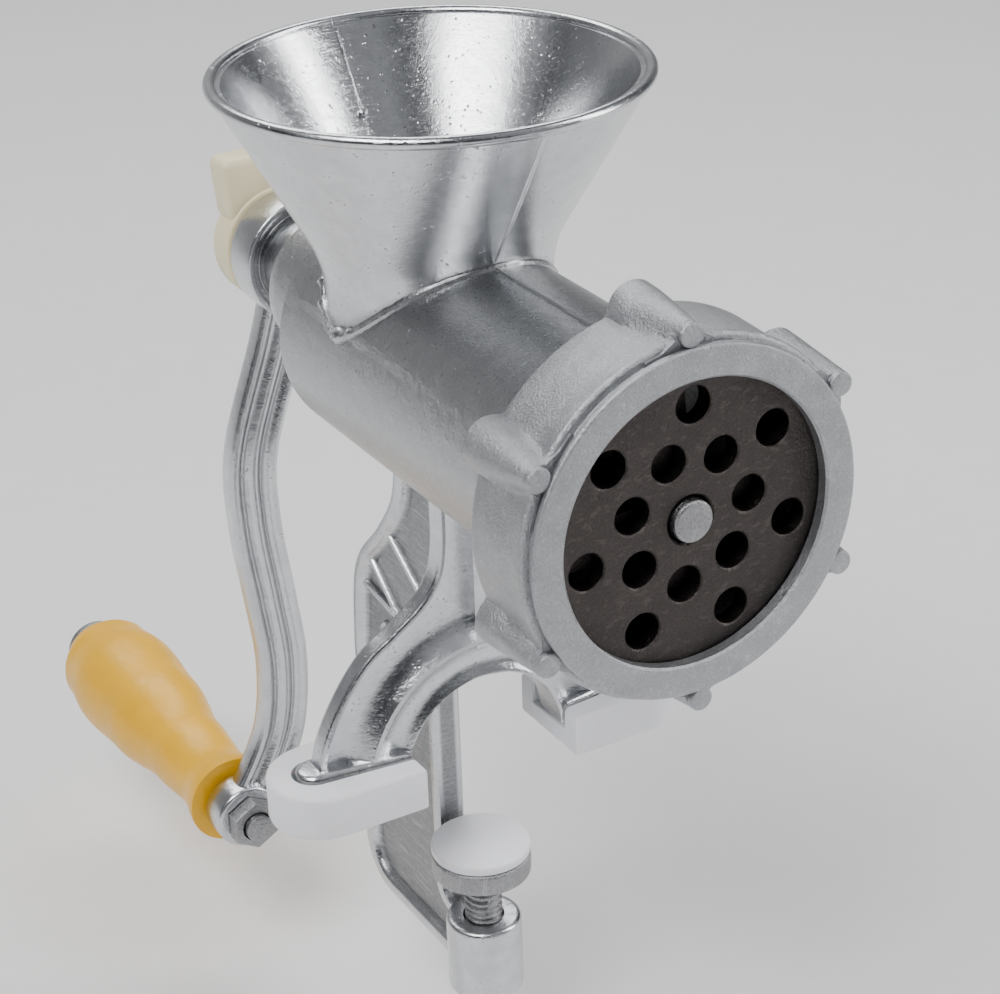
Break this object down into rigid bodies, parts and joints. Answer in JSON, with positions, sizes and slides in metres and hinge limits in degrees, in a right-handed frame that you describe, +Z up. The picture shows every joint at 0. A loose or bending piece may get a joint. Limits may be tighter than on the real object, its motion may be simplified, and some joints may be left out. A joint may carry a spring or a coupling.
{
  "type": "hand crank meat grinder",
  "caption": "Table-edge hand crank meat grinder: funnel hopper cast in one with a barrel, screw-on ring over a holed plate, S-shaped crank with a turning grip, and a screw clamp below.",
  "frame": {"origin": "on the table's top surface, at its edge, under the middle of the barrel", "axes": "+Z up, -Y out over the table towards the hole plate (the barrel's axis is parallel to Y), +X right as seen from the front"},
  "size_m": [0.115, 0.3021, 0.2866],
  "materials": {
    "cast_aluminium": "tumbled bright casting",
    "ring_aluminium": "fine-grained satin casting",
    "plate_steel": "ground, darkened",
    "turned_steel": "turned, satin",
    "yellow_plastic": "mottled, semi-gloss",
    "cream_plastic": "moulded, satin",
    "white_plastic": "milky, satin",
    "brown_bush": "pressed fibre"
  },
  "bodies": {
    "root": {"body_casting": "cast_aluminium", "rear_bush": "brown_bush", "thrust_washer": "white_plastic", "plate_key_pin": "turned_steel", "left_shoe": "white_plastic", "right_shoe": "white_plastic"},
    "drive": {"auger": "turned_steel", "cutter_knife": "plate_steel", "crank_arm": "cast_aluminium", "grip_spindle": "turned_steel", "grip_end_cap": "turned_steel", "grip_spindle_nut": "turned_steel"},
    "grip": {"handle_grip": "yellow_plastic"},
    "wing_washer": {"wing_screw_washer": "turned_steel"},
    "wing_screw": {"wing_screw_head": "cream_plastic", "wing_screw_stud": "turned_steel"},
    "plate": {"hole_plate": "plate_steel"},
    "ring": {"ring_nut": "ring_aluminium"},
    "clamp_pad": {"clamp_pad": "turned_steel", "clamp_pad_liner": "white_plastic"},
    "clamp_screw": {"clamp_screw": "turned_steel", "clamp_wing_handle": "cast_aluminium", "clamp_handle_pin": "turned_steel"}
  },
  "joints": [
    {"name": "crank_turn", "type": "hinge", "parent": "root", "child": "drive", "pos_m": [0, 0, 0.11], "axis": [0, 1, 0], "continuous": true},
    {"name": "grip_spin", "type": "hinge", "parent": "drive", "child": "grip", "pos_m": [-0.029, 0.13, -0.05497], "axis": [0, 1, 0], "continuous": true},
    {"name": "wing_washer_slide", "type": "slide", "parent": "drive", "child": "wing_washer", "axis": [0, 1, 0], "range_m": [0, 0.0125]},
    {"name": "wing_screw_turn", "type": "hinge", "parent": "wing_washer", "child": "wing_screw", "pos_m": [0, 0.085, 0.11], "axis": [0, 1, 0], "range_deg": [0, 2880]},
    {"name": "plate_slide", "type": "slide", "parent": "root", "child": "plate", "axis": [0, -1, 0], "range_m": [0, 0.0125]},
    {"name": "ring_turn", "type": "hinge", "parent": "plate", "child": "ring", "pos_m": [0, -0.105, 0.11], "axis": [0, -1, 0], "range_deg": [0, 1440]},
    {"name": "clamp_pad_slide", "type": "slide", "parent": "root", "child": "clamp_pad", "axis": [0, 0, 1], "range_m": [-0.013, 0.019]},
    {"name": "clamp_screw_turn", "type": "hinge", "parent": "clamp_pad", "child": "clamp_screw", "pos_m": [0, -0.0155, -0.06], "axis": [0, 0, 1], "range_deg": [-2376, 3456]}
  ],
  "couplings": [
    {"joint": "wing_washer_slide", "follows": "wing_screw_turn", "m_per_rad": 0.00023873},
    {"joint": "plate_slide", "follows": "ring_turn", "m_per_rad": 0.00047746},
    {"joint": "clamp_screw_turn", "follows": "clamp_pad_slide", "rad_per_m": 3141.6}
  ]
}
